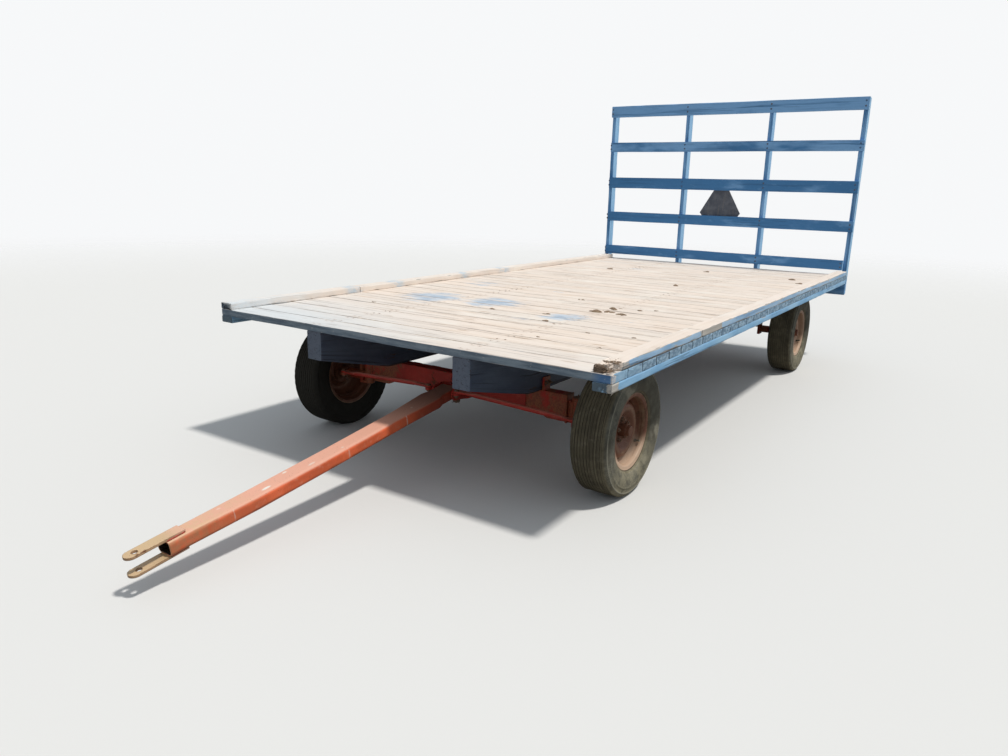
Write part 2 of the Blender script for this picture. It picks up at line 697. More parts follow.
def toned(shape, tone):
    """A shape whose points all carry one tone."""
    vertices, faces, _ = shape
    return vertices, faces, {"tone": np.full(len(vertices), tone)}


def grid_faces(rows, columns, wrap_rows=False, wrap_columns=True):
    """Quads between neighbours in a grid of points that may close on itself either way."""
    faces = []
    for row in range(rows if wrap_rows else rows - 1):
        a, b = row * columns, (row + 1) % rows * columns
        for column in range(columns if wrap_columns else columns - 1):
            after = (column + 1) % columns
            faces.append((a + column, a + after, b + after, b + column))
    return faces


def fan(start, around, centre):
    """Triangles from a ring of points to its centre."""
    return [(start + i, start + (i + 1) % around, centre) for i in range(around)]


def capped(points, around):
    """The shape of rings of points that follow each other, closed at both ends."""
    last = len(points) - around
    ends = [tuple(range(around)), tuple(range(last, last + around))]
    return np.array([tuple(point) for point in points]), grid_faces(len(points) // around, around) + ends, {}


def circle(centre, side, other, radius, around, phase=0.0):
    angles = [math.tau * index / around + phase for index in range(around)]
    return [centre + (side * math.cos(angle) + other * math.sin(angle)) * radius for angle in angles]


def wave(values, seed, periods):
    """A smooth random line between -1 and 1 along values, in metres."""
    source = np.random.default_rng(seed)
    total, weight = np.zeros_like(values, float), 0.0
    for order, period in enumerate(periods):
        share = 0.6 ** order
        total += share * np.sin(values * math.tau / period + source.uniform(0, math.tau))
        weight += share
    return total / weight


def board_section(width, thickness, radius, columns, rows):
    """Points round a board's rounded section as (across, through, corner share)."""
    points = []
    half_w, half_t, hug = width / 2, thickness / 2, radius * 0.6
    for side_x, side_z, first in ((1, 1, 0), (-1, 1, 90), (-1, -1, 180), (1, -1, 270)):
        for share, corner in ((0.0, 0.75), (0.5, 1.0), (1.0, 0.75)):
            angle = math.radians(first + share * 90)
            across = side_x * (half_w - radius) + radius * math.cos(angle)
            points.append((across, side_z * (half_t - radius) + radius * math.sin(angle), corner))
        if side_x * side_z > 0:
            reach = half_w - radius - hug
            points.extend((side_x * u, side_z * half_t, 0.0) for u in np.linspace(reach, -reach, columns))
        else:
            reach = half_t - radius - hug
            points.extend((side_x * half_w, side_z * v, 0.0) for v in np.linspace(reach, -reach, rows))
    return np.array(points)


def board(low, high, along, seed, paint, radius=0.004, columns=5, rows=3, step=0.06, chips=0.004,
          warp=0.0015, ragged=0.0015, fine=()):
    """A weathered board between two corners, its length along one axis.

    Its values are what the wood materials read. fine adds stations, measured from the low end.
    """
    low, high = np.array(low, float), np.array(high, float)
    axes = {"X": [0, 1, 2], "Y": [1, 0, 2], "Z": [2, 0, 1]}[along]
    length, width, thickness = (high - low)[axes]
    section = board_section(width, thickness, radius, columns, rows)
    around = len(section)
    half, cap, inset = length / 2, 0.0022, 0.012
    inner = np.linspace(-half, half, max(3, int(length / step)) + 1)[1:-1]
    ends = [-half, -half + cap, -half + inset, half - inset, half - cap, half]
    stations = np.sort(np.concatenate([ends, np.array(fine, float) - half, inner]))
    source = np.random.default_rng(seed)
    bow = wave(stations, seed, (2.2, 0.9)) * warp
    lift = wave(stations, seed + 7, (1.7, 0.6)) * warp
    cup = source.uniform(-1, 1) * warp
    grid = np.zeros((len(stations), around, 3))
    wear = np.zeros((len(stations), around))
    for column, (across, through, corner) in enumerate(section):
        bite = np.clip(wave(stations, seed * 31 + column // 3, (0.37, 0.17, 0.071)) - 0.35, 0, 1)
        bite = bite * corner * chips
        grid[:, column, 0] = stations
        grid[:, column, 1] = across - np.sign(across) * bite * 0.7 + bow
        grid[:, column, 2] = through - np.sign(through) * bite + lift + cup * (1 - (2 * across / width) ** 2)
        wear[:, column] = np.clip(corner * 0.5 + bite / max(chips, 1e-6), 0, 1)
    for station, sign in ((0, 1), (-1, -1)):
        jag = source.uniform(0, 1, around) * ragged
        grid[[station, station + sign], :, 0] += sign * jag
        grid[station, :, 1:] *= 1 - 0.9 * cap / np.array([width, thickness])
    # the worn surface never leaves the solid that it stands for
    grid[:, :, 1] = np.clip(grid[:, :, 1], -width / 2, width / 2)
    grid[:, :, 2] = np.clip(grid[:, :, 2], -thickness / 2, thickness / 2)
    near_end = np.clip(1 - (half - np.abs(grid[:, :, 0])) / 0.03, 0, 1)
    wear = np.clip(np.maximum(wear, near_end * 0.8), 0, 1)
    end = np.zeros((len(stations), around))
    end[[0, -1], :] = 1
    flat = np.vstack([grid.reshape(-1, 3), grid[0].mean(0), grid[-1].mean(0)])
    count = len(flat)
    faces = grid_faces(len(stations), around)
    faces += fan(0, around, count - 2) + fan(count - 2 - around, around, count - 1)
    world = np.zeros_like(flat)
    world[:, axes] = flat
    world += (high + low) / 2
    values = {
        "place": flat,
        "tone": np.full(count, source.uniform(0, 1)),
        "wear": np.concatenate([wear.ravel(), [0.8, 0.8]]),
        "end": np.concatenate([end.ravel(), [1, 1]]),
        "paint": np.full(count, paint),
    }
    return world, faces, values


def lathe(profile, centre, side, segments, shape=None, closed=False):
    """Turns a profile of (distance outwards, radius) about the wheel's axis.

    Its values are the distance outwards, the radius and the turn at rest.
    """
    profile = np.asarray(profile, float)
    angles = np.linspace(0, math.tau, segments, endpoint=False)
    turn = np.repeat(angles[:, None], len(profile), axis=1)
    out, radius = np.tile(profile[:, 0], (segments, 1)), np.tile(profile[:, 1], (segments, 1))
    values = {"across": out.ravel(), "radius": radius.ravel(), "turn": turn.ravel()}
    if shape is not None:
        out, radius = shape(out, radius, turn)
    points = np.stack([side * out, radius * np.cos(turn), radius * np.sin(turn)], axis=-1) + np.array(centre)
    return points.reshape(-1, 3), grid_faces(segments, len(profile), True, closed), values


def soften(loop):
    """A closed section with its corners cut once."""
    loop = np.array(loop)
    after = np.roll(loop, -1, axis=0)
    return np.stack([loop * 0.75 + after * 0.25, loop * 0.25 + after * 0.75], axis=1).reshape(-1, 2)


def tube_between(points, radii, around):
    """A tube through points with a radius at each, closed at both ends."""
    points = [Vector(p) for p in points]
    vertices, side = [], None
    for index, (point, radius) in enumerate(zip(points, radii)):
        direction = (points[min(len(points) - 1, index + 1)] - points[max(0, index - 1)]).normalized()
        side = direction.orthogonal() if side is None else side - direction * side.dot(direction)
        side.normalize()
        vertices += circle(point, side, direction.cross(side), radius, around)
    return capped(vertices, around)


def turned(centre, axis, steps, around, phase=0.0):
    """A solid of rings (height, radius) along an axis, closed at both ends."""
    axis = Vector(axis).normalized()
    side = axis.orthogonal().normalized()
    vertices = []
    for height, radius in steps:
        vertices += circle(Vector(centre) + axis * height, side, axis.cross(side), radius, around, phase)
    return capped(vertices, around)


def hexagon_bolt(centre, axis, across=0.024, head=0.010, washer=0.018, thread=0.0, turn=0.0):
    """A chamfered hexagon on a washer, with a thread end past it where one shows."""
    thick = washer * 0.16
    radius, top, pitch = across / 2 / math.cos(math.pi / 6), thick + head, 0.0015
    foot = [(thick - 0.001, radius * 0.96), (thick + 0.0008, radius)]
    shapes = [turned(centre, axis, [*foot, (top * 0.86, radius), (top, radius * 0.88)], 6, turn)]
    if washer:
        disc = [(-0.001, washer), (thick * 0.8, washer), (thick, washer * 0.94)]
        shapes.append(turned(centre, axis, disc, 20))
    if thread:
        rings = [(top - 0.001, across * 0.30)]
        for step in range(int(thread / pitch)):
            rings.append((top + step * pitch, across * (0.30 if step % 2 else 0.27)))
        rings.append((top + thread + pitch, across * 0.22))
        shapes.append(turned(centre, axis, rings, 12))
    return join(shapes)


def dome(centre, axis, radius, rise):
    """A round bolt head."""
    angles = [math.pi / 2 * ring / 3 for ring in range(3)]
    steps = [(rise * math.sin(angle) - 0.0005, radius * math.cos(angle)) for angle in angles]
    return turned(centre, axis, steps + [(rise, radius * 0.12)], 12)


def cotter(centre, axis, length):
    """A split pin through a stud: an eye at one end and two legs bent apart at the other."""
    axis = Vector(axis).normalized()
    bend = axis.orthogonal().normalized()
    centre, half, eye_radius = Vector(centre), length / 2, 0.004
    eye = []
    for step in range(7):
        angle = math.pi * (0.75 + 1.5 * step / 6)
        back = half + eye_radius - eye_radius * math.cos(angle)
        eye.append(centre - axis * back + bend * eye_radius * math.sin(angle))
    shapes = [tube_between([centre - axis * half, centre + axis * half], (0.0018, 0.0018), 8)]
    shapes.append(tube_between(eye, [0.0012] * len(eye), 6))
    for side in (-1, 1):
        tip = centre + axis * (half + 0.002) + bend * side * 0.008
        shapes.append(tube_between([centre + axis * (half - 0.002), tip], (0.0013, 0.0011), 6))
    return join(shapes)


def weld_bead(start, end, seed, radius=0.0035):
    """A rippled bead along a line."""
    start, end = Vector(start), Vector(end)
    source = np.random.default_rng(seed)
    count = max(4, int((end - start).length / (radius * 0.8)))
    points, radii = [], []
    for step in range(count + 1):
        sway = Vector(source.uniform(-1, 1, 3)) * radius * 0.12
        points.append(start.lerp(end, step / count) + sway)
        taper = 0.55 if step in (0, count) else 1.0
        radii.append(radius * taper * (0.86 + 0.26 * (step % 2) + source.uniform(-0.08, 0.08)))
    return tube_between(points, radii, 7)


def lump(centre, size, seed, around=9, rings=5):
    """A small irregular clod lying on a surface, flat below."""
    source = np.random.default_rng(seed)
    low, wide = source.uniform(0, math.tau, 3), source.uniform(0.75, 1.25, 3)
    vertices = []
    for ring in range(rings):
        tilt = math.pi / 2 * ring / (rings - 1) * 0.92
        for index in range(around):
            angle = math.tau * index / around
            rough = 1 + 0.22 * math.sin(2 * angle + low[0]) + 0.14 * math.sin(5 * angle + 3 * tilt + low[1])
            reach = math.cos(tilt) * (rough + source.uniform(-0.16, 0.16))
            x = centre[0] + size[0] * reach * math.cos(angle) * wide[0]
            y = centre[1] + size[1] * reach * math.sin(angle) * wide[1]
            rise = size[2] * math.sin(tilt) * (1 + source.uniform(-0.15, 0.15))
            vertices.append((x, y, centre[2] - 0.001 + rise))
    return capped(vertices, around)


# Deck

# Where blue paint is left on the planks: x, distance behind the front edge, half sizes, strength
BLUE_PATCHES = (
    (-0.65, 1.18, 0.30, 0.30, 0.57),
    (-0.23, 1.27, 0.26, 0.28, 0.59),
    (0.40, 1.09, 0.19, 0.19, 0.57),
    (-0.81, 1.97, 0.26, 0.24, 0.39),
    (0.22, 0.88, 0.12, 0.06, 0.46),
    (0.75, 1.20, 0.12, 0.08, 0.36),
    (-1.02, 0.32, 0.30, 0.22, 0.34),
)
# Clods on the planks: x, distance behind the front edge, reach
CLODS = (
    (0.446, 1.367, 0.030), (0.500, 1.417, 0.024), (0.472, 1.544, 0.026), (0.612, 1.374, 0.020),
    (-0.076, 1.036, 0.012), (0.378, 0.892, 0.016), (0.724, 0.736, 0.012), (0.332, 2.935, 0.020),
    (0.153, 4.154, 0.024), (0.922, 4.083, 0.020), (1.046, 3.827, 0.018), (-0.774, 0.757, 0.010),
    (-0.601, 3.712, 0.020), (0.152, 1.754, 0.014), (0.709, 1.660, 0.012), (0.462, 0.844, 0.012),
    (0.586, 0.477, 0.010), (0.940, 0.443, 0.010), (0.631, 1.587, 0.014), (0.269, 1.107, 0.012),
    (0.961, 0.771, 0.010),
)


def make_deck():
    shapes = []
    for index in range(PLANK_COUNT):
        y = FRONT_EDGE + index * PLANK_PITCH
        low, high = (-HALF_WIDTH, y, DECK_BOTTOM), (HALF_WIDTH, y + PLANK_WIDTH, DECK_TOP)
        worn = {"radius": 0.003, "chips": 0.003, "warp": 0.0014, "ragged": 0.0012}
        shapes.append(board(low, high, "X", 100 + index, 0.0, columns=7, step=0.05, **worn))
    vertices, faces, values = join(shapes)
    x, y = vertices[:, 0], vertices[:, 1] - FRONT_EDGE
    paint = np.zeros(len(vertices))
    for centre_x, centre_y, half_x, half_y, strength in BLUE_PATCHES:
        far = np.hypot((x - centre_x) / half_x, (y - centre_y) / half_y)
        paint = np.maximum(paint, strength * np.clip(1.35 - far, 0, 1))
    top = vertices[:, 2] > DECK_TOP - 0.0025
    front_face = (y < 0.004) & ~top
    ends = np.abs(x) > HALF_WIDTH - 0.008
    bare_corner = (x > HALF_WIDTH - 0.010) & (y < 0.018)
    values["paint"] = np.where(top, paint, 0.45)
    values["coat"] = np.where(front_face | ends, np.where(bare_corner, 0.05, 0.85), 0.0)
    values["fresh"] = (front_face & (x > CURB_INSIDE - 0.01)).astype(float)
    values["bright"] = ends * (x > 0) * np.clip(1.25 - y / 0.28, 0, 1) * 0.85
    haze = np.clip(0.95 - np.hypot((x + 0.95) / 1.35, y / 1.0), 0, 1)
    haze += np.clip(0.5 - y / 0.7, 0, 1) * 0.6
    values["haze"] = np.clip(haze, 0, 1) * top
    values["dirt"] = np.clip(0.25 + 0.5 * np.exp(-((x - 0.45) / 0.8) ** 2 - ((y - 1.4) / 0.8) ** 2), 0, 1)
    finish_mesh("deck_boards", (vertices, faces, values), "bleached_planks", "deck_planks")


def make_deck_dirt():
    """Soil packed into the gaps between planks, and clods lying on them."""
    half_gap = (PLANK_PITCH - PLANK_WIDTH) / 2
    x = np.linspace(-HALF_WIDTH + 0.010, HALF_WIDTH - 0.010, 70)
    shapes = []
    for index in range(PLANK_COUNT - 1):
        y = FRONT_EDGE + index * PLANK_PITCH + PLANK_WIDTH + half_gap
        depth = 0.0025 + 0.0095 * wave(x, 700 + index, (0.9, 0.33, 0.11))
        depth = np.clip(depth + 0.0012 * wave(x, 800 + index, (0.06, 0.023)), 0.0018, 0.018)
        depth[np.abs(x) > CURB_INSIDE] = 0.0030
        side, under, rows = 1.05 * half_gap, 0.030, []
        for across, below in (
            (-side, depth), (0, depth + 0.0008), (side, depth), (side, under), (-side, under)
        ):
            z = 0 * x + DECK_TOP - below
            rows.append(np.stack([x, np.full_like(x, y + across), z], axis=-1))
        shapes.append(capped(np.stack(rows, axis=1).reshape(-1, 3), len(rows)))
    finish_mesh("gap_dirt", join(shapes), "packed_dirt")

    shapes, seed = [], 900
    for x, behind, size in CLODS:
        for part in range(1 + int(size / 0.008)):
            seed += 1
            source = np.random.default_rng(seed)
            scattered = part > 0
            spot_x = x + source.normal(0, size * 0.9) * scattered
            spot_y = FRONT_EDGE + behind + source.normal(0, size * 0.6) * scattered
            length = size * (source.uniform(0.35, 1.0) if scattered else 1.0)
            form = (length, length * source.uniform(0.4, 0.9), length * source.uniform(0.25, 0.55))
            shapes.append(lump((spot_x, spot_y, DECK_TOP), form, seed))
    finish_mesh("deck_clods", join(shapes), "dry_clods", sharp=35)


def make_nails():
    """Sunk nail heads, four in each plank over each sill."""
    source = np.random.default_rng(7)
    head = [(-0.0015, 0.0048), (-0.0004, 0.0044), (0.0004, 0.0018)]
    shapes = []
    for index in range(PLANK_COUNT):
        plank = FRONT_EDGE + index * PLANK_PITCH + PLANK_WIDTH / 2
        for row in NAIL_ROWS[:2]:
            for side in (-1, 1):
                for offset in (-NAIL_FROM_MIDDLE, NAIL_FROM_MIDDLE):
                    x = side * row + source.uniform(-0.006, 0.006)
                    y = plank + offset + source.uniform(-0.005, 0.005)
                    shapes.append(turned((x, y, DECK_TOP), (0, 0, 1), head, 8))
    finish_mesh("deck_nails", join(shapes), "old_bolts")


# Side boards

# The butt joint in each curb, measured behind the front edge
CURB_JOINT = 1.011
CURB_GAP = 0.003
# The daylight under the left curb's front stretch, and how far its end has rotted
SLOT_LENGTH = 0.72
ROT_LENGTH = 0.100
ROT_DEPTH = 0.055
# Where the right curb keeps blue on its top, measured behind the front edge
CURB_BLUES = (0.955, 1.385, 2.181, 2.739)


def make_stringer(side):
    """The board under the plank ends; the left one has lost its front corner's paint."""
    node = f"side_stringer_{side}"
    low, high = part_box(node)
    worn = {"radius": 0.005, "step": 0.08, "chips": 0.005, "warp": 0.0008}
    shape = board(low, high, "Y", 300 + len(side), 0.74, **worn)
    vertices, _, values = shape
    if side == "left":
        corner = (vertices[:, 1] < FRONT_EDGE + 0.030) & (vertices[:, 0] > high.x - 0.024)
        values["paint"] = np.where(corner, -0.2, values["paint"])
        values["end"] = np.where(corner, 0.0, values["end"])
    finish_mesh(f"stringer_board_{side}", shape, "sunlit_blue_boards", node)


def make_curb(side):
    """A curb in two lengths, bare on its top and inside."""
    node = f"curb_{side}"
    low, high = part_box(node)
    joint = FRONT_EDGE + CURB_JOINT
    worn = {"radius": 0.005, "step": 0.04, "chips": 0.007, "warp": 0.0015, "ragged": 0.002}
    dense = {"columns": 17, "fine": np.arange(0.005, 0.150, 0.005)} if side == "left" else {}
    seed = 320 + 5 * len(side)
    front = board((low.x, low.y, low.z), (high.x, joint, high.z), "Y", seed, 0.56, **worn, **dense)
    rear = board((low.x, joint + CURB_GAP, low.z), (high.x, high.y, high.z), "Y", seed + 1, 0.56, **worn)
    vertices, faces, values = join([front, rear])
    behind = vertices[:, 1] - FRONT_EDGE
    bare = (vertices[:, 2] > high.z - 0.0025) | (np.abs(vertices[:, 0]) < CURB_INSIDE + 0.004)
    values["cream"] = np.where(bare, 0.75, 0.0)
    values["dirt"] = np.zeros(len(vertices))
    values["tint"] = np.zeros(len(vertices))
    values["haze"] = bare * np.clip(1.1 - behind / 0.80, 0, 1) * (0.85 if side == "right" else 0.0)
    if side == "left":
        rot_curb(vertices, values, behind, low, high)
    else:
        for spot in CURB_BLUES:
            near = np.clip(1.0 - np.abs(behind - spot) / 0.14, 0, 1)
            values["tint"] = np.maximum(values["tint"], bare * near)
    finish_mesh(f"curb_board_{side}", (vertices, faces, values), "faded_blue_boards", node)


def rot_curb(vertices, values, behind, low, high):
    """Opens the slot under the left curb, and breaks its front end into strands."""
    source = np.random.default_rng(41)
    raised = (vertices[:, 2] < low.z + 0.009) & (vertices[:, 0] > high.x - 0.030) & (behind < SLOT_LENGTH)
    vertices[:, 2] += np.where(raised, 0.0035, 0.0)
    values["paint"] = values["paint"] - 0.30 * (behind > CURB_JOINT) * (behind < CURB_JOINT + 0.30)
    lost = np.clip(1 - behind / ROT_LENGTH, 0, 1)
    limit = high.x - ROT_DEPTH * lost ** 0.6
    past = vertices[:, 0] > limit
    torn = limit + source.uniform(-0.006, 0.006, len(vertices))
    vertices[:, 0] = np.where(past, torn, vertices[:, 0])
    soft = np.clip(1.25 - behind / 0.13, 0, 1)
    strand = np.random.default_rng(12).uniform(0, 1, 40)
    which = np.clip((vertices[:, 0] - low.x) / 0.0045, 0, 39).astype(int)
    upper = np.clip((vertices[:, 2] - low.z - 0.012) / 0.026, 0, 1)
    sink = (0.003 + 0.016 * strand[which] ** 1.5 + source.uniform(0, 0.003, len(vertices))) * soft
    vertices[:, 2] -= sink * upper
    set_back = 0.028 * strand[which[::-1] % 40] * np.clip(1 - behind / 0.030, 0, 1) * (0.3 + 0.7 * upper)
    vertices[:, 1] += np.where(behind < 0.030, set_back, 0)
    rotten = np.clip(1.6 - behind / 0.020, 0, 1)
    values["cream"] = np.maximum(values["cream"], 0.75 * past * (soft > 0)) * (1 - rotten)
    values["dirt"] = rotten * (vertices[:, 0] < high.x - 0.028) + 0.15 * soft * past
    values["end"] = values["end"] * (1 - np.clip(soft * 3, 0, 1))
    values["paint"] = values["paint"] - soft * 0.5


def make_rot():
    """Torn fibres, crumbs and two hanging splinters at the left curb's rotted end."""
    source = np.random.default_rng(61)
    shapes = []

    def splinter(start, end, thick, tone):
        start, end = Vector(start), Vector(end)
        bent = start.lerp(end, 0.55) + Vector(source.uniform(-1, 1, 3)) * thick * 0.8
        shapes.append(toned(tube_between([start, bent, end], (thick, thick * 0.7, thick * 0.15), 4), tone))

    for _ in range(120):
        x = source.uniform(CURB_INSIDE + 0.002, HALF_WIDTH - 0.036)
        lost = (x - (HALF_WIDTH - ROT_DEPTH)) / ROT_DEPTH
        y = FRONT_EDGE + (ROT_LENGTH * max(0.0, lost) ** 1.6) * 0.8 + source.uniform(0.008, 0.026)
        z = DECK_TOP + source.uniform(0.002, 0.020)
        length = source.uniform(0.010, 0.028)
        aim = Vector((source.normal(0, 0.30), -1, source.normal(0.10, 0.28))).normalized()
        tip = Vector((x, y, z)) + aim * length
        tip.x = min(tip.x, HALF_WIDTH - 0.001)
        tip.y = max(tip.y, FRONT_EDGE + 0.001)
        tip.z = min(max(tip.z, DECK_TOP + 0.001), DECK_TOP + 0.028)
        splinter((x, y, z), tip, source.uniform(0.0010, 0.0024), source.uniform(0, 0.72))
    corner = Vector((HALF_WIDTH - 0.003, FRONT_EDGE, DECK_TOP))
    for start, end, thick in (
        ((0, 0.035, -0.060), (-0.018, 0.038, -0.094), 0.0035),
        ((-0.008, 0.030, -0.066), (-0.030, 0.020, -0.084), 0.0025),
    ):
        splinter(corner + Vector(start), corner + Vector(end), thick, 1.0)
    for number in range(60):
        x = min(source.normal(1.184, 0.020), HALF_WIDTH - 0.014)
        y = FRONT_EDGE + abs(source.normal(0.0, 0.060)) + 0.004
        size = source.uniform(0.0018, 0.0055)
        rest = DECK_TOP + (0.010 if y < FRONT_EDGE + 0.06 else 0.036) * (x > CURB_INSIDE)
        crumb = lump((x, y, rest), (size * 1.6, size, size * 0.6), 2000 + number, 7, 4)
        shapes.append(toned(crumb, source.uniform(0, 0.9)))
    finish_mesh("rotted_fibres", join(shapes), "torn_wood", sharp=35)


def make_sill(side):
    """A squared timber whose underside tapers up at both ends."""
    node = f"sill_{side}"
    low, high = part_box(node)
    worn = {"radius": 0.006, "step": 0.05, "chips": 0.006, "warp": 0.0}
    shape = board(low, high, "Y", 340 + len(side), 0.70, columns=4, rows=9, **worn)
    vertices, _, values = shape
    taper, end_depth, depth = 0.52, 0.150, high.z - low.z
    from_end = np.minimum(vertices[:, 1] - low.y, high.y - vertices[:, 1])
    here = end_depth + (depth - end_depth) * np.clip(from_end / taper, 0, 1)
    vertices[:, 2] = high.z - (high.z - vertices[:, 2]) * here / depth
    values["paint"] = 0.78 - 0.22 * np.clip((from_end - 0.15) / 0.4, 0, 1)
    finish_mesh(f"sill_beam_{side}", shape, "dark_blue_beams", node)


# Rack

# How chalky the paint is on each rack board, lowest first
RAIL_FADE = (-0.18, -0.14, -0.20, 0.04, 0.20)
RAILS, POSTS = range(1, 6), range(1, 5)


def make_header():
    worn = {"radius": 0.005, "chips": 0.006, "warp": 0.0012}
    shape = board(*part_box("rear_header"), "X", 351, 0.7, columns=3, rows=5, **worn)
    finish_mesh("header_board", shape, "blue_boards", "rear_header")


def make_rack():
    boards = [(f"rack_post_{n}", "Z", 400 + n, 0.0) for n in POSTS]
    boards += [(f"rack_rail_{n}", "X", 420 + n, RAIL_FADE[n - 1]) for n in RAILS]
    for node, along, seed, fade in boards:
        low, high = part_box(node)
        shape = board(low, high, along, seed, 0.66, columns=3, rows=5)
        vertices, _, values = shape
        values["fade"] = np.where(vertices[:, 0] > high.x - 0.002, 0.5, fade)
        finish_mesh(f"{node}_board", shape, "blue_boards", node)


def make_rack_bolts():
    """Round heads of the bolts through each board into each post."""
    heads = []
    for rail in RAILS:
        low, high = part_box(f"rack_rail_{rail}")
        for post in POSTS:
            x = min(middle(f"rack_post_{post}").x, high.x - 0.02)
            for share in (0.3, 0.7):
                z = low.z + (high.z - low.z) * share
                heads.append(dome((x, low.y + 0.0005, z), (0, -1, 0), 0.009, 0.0035))
    finish_mesh("rack_bolt_heads", join(heads), "painted_bolt_heads")


def make_emblem():
    """A triangular plate with cut corners, its sheet to the rear."""
    low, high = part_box("smv_emblem")
    centre_x = middle("smv_emblem").x
    half, height, top_half, inset, rise = (high.x - low.x) / 2, high.z - low.z, 0.024, 0.030, 0.036
    foot = half - inset
    outline = [(-foot, 0), (foot, 0), (half, rise), (top_half, height), (-top_half, height), (-half, rise)]
    heart, count = height * 0.36, len(outline)
    vertices, faces, inside = [], [], []
    for y in (low.y, high.y):
        start = len(vertices)
        for share, value in ((1.0, 0.0), (0.80, 0.5), (0.78, 0.6)):
            for u, v in outline:
                vertices.append((centre_x + u * share, y, low.z + heart + (v - heart) * share))
                inside.append(value)
        vertices.append((centre_x, y, low.z + heart))
        inside.append(1.0)
        faces += [tuple(i + start for i in face) for face in grid_faces(3, count)]
        faces += fan(start + 2 * count, count, start + 3 * count)
    per_side = 3 * count + 1
    for index in range(count):
        after = (index + 1) % count
        faces.append((index, after, per_side + after, per_side + index))
    shape = np.array(vertices), faces, {"inside": inside}
    mesh = finish_mesh("emblem_plate", shape, "emblem_back", "smv_emblem").data
    mesh.materials.append(MATERIALS["emblem_sheet"])
    for polygon in mesh.polygons:
        polygon.material_index = 1 if polygon.normal.y > 0.5 else 0


# Wheels

TREAD_HALF = 0.082
GROOVES = (-0.066, -0.050, -0.0335, -0.0165, 0.0, 0.0165, 0.0335, 0.050, 0.066)
GROOVE_HALF = 0.0019
GROOVE_DEPTH = 0.0034
# The tyre's wall from its bead to the shoulder as (distance outwards, radius)
TYRE_WALL = (
    (0.0780, 0.1965), (0.0810, 0.2000), (0.0845, 0.2060), (0.0870, 0.2080), (0.0885, 0.2115),
    (0.0915, 0.2180), (0.0955, 0.2310), (0.0985, 0.2460), (0.0998, 0.2570), (0.0995, 0.2680),
    (0.0990, 0.2765), (0.0998, 0.2785), (0.0998, 0.2815), (0.0985, 0.2835), (0.0972, 0.2910),
    (0.0962, 0.2985), (0.0958, 0.3030), (0.0976, 0.3050), (0.0972, 0.3080), (0.0940, 0.3105),
    (0.0900, 0.3180), (0.0840, 0.3240),
)
# Sections of the pressed wheel, in the same way: the drop-centre rim, whose two outer flanges mirror
# each other, and the dished disc from its bolt face out to the rim's well and back
RIM_FLANGE = [
    (0.0775, 0.1955), (0.0745, 0.1952), (0.0715, 0.1900), (0.0700, 0.1800), (0.0520, 0.1770),
    (0.0480, 0.1780),
]
RIM_WELL = [(-0.0400, 0.1740), (-0.0300, 0.1620), (0.0080, 0.1620), (0.0200, 0.1740)]
RIM_INSIDE = [
    (0.0779, 0.1925), (0.0765, 0.1900), (0.0745, 0.1780), (0.0730, 0.1745), (0.0560, 0.1718),
    (0.0510, 0.1738), (0.0440, 0.1732), (0.0260, 0.1690), (0.0130, 0.1580), (-0.0330, 0.1580),
    (-0.0430, 0.1700), (-0.0520, 0.1730), (-0.0730, 0.1755), (-0.0745, 0.1790), (-0.0765, 0.1910),
    (-0.0779, 0.1935),
]
RIM = [(-x, radius) for x, radius in RIM_FLANGE] + RIM_WELL + RIM_FLANGE[::-1] + RIM_INSIDE
DISC = [
    (0.0180, 0.0345), (0.0180, 0.0690), (0.0195, 0.0755), (0.0375, 0.0935), (0.0425, 0.1010),
    (0.0440, 0.1120), (0.0425, 0.1250), (0.0360, 0.1360), (0.0180, 0.1490), (0.0070, 0.1572),
    (-0.0140, 0.1579), (-0.0140, 0.1540), (0.0030, 0.1530), (0.0130, 0.1450), (0.0310, 0.1320),
    (0.0366, 0.1235), (0.0380, 0.1120), (0.0368, 0.1035), (0.0320, 0.0965), (0.0138, 0.0800),
    (0.0122, 0.0735), (0.0122, 0.0345),
]
# The dust cap's steps as (height, radius)
DUST_CAP = [
    (0.0, 0.0315), (0.0022, 0.0315), (0.0030, 0.0285), (0.0190, 0.0262), (0.0204, 0.0240),
    (0.0204, 0.0150), (0.0190, 0.0130), (0.0190, 0.002),
]
# A groove's edges, counted in half widths from its middle, how deep it is there, and whether it is dark
GROOVE_STEPS = ((-1.4, 0, 0), (-1, 0.3, 0), (-0.6, 1, 1), (0.6, 1, 1), (1, 0.3, 0), (1.4, 0, 0))


def tyre_profile(radius):
    """From the inner bead over the tread to the outer bead: distance outwards, radius, groove share."""
    edge = TREAD_HALF - 0.003
    tread = [(-edge, 0.0, 0.0)]
    for centre in GROOVES:
        for share, drop, groove in GROOVE_STEPS:
            tread.append((centre + share * GROOVE_HALF, drop * GROOVE_DEPTH, groove))
    tread.append((edge, 0.0, 0.0))
    crown = [(x, radius - 0.0030 * (x / TREAD_HALF) ** 2 - drop, groove) for x, drop, groove in tread]
    inner, outer = ([(side * x, r, 0.0) for x, r in TYRE_WALL] for side in (-1, 1))
    return np.array(inner + crown + outer[::-1])


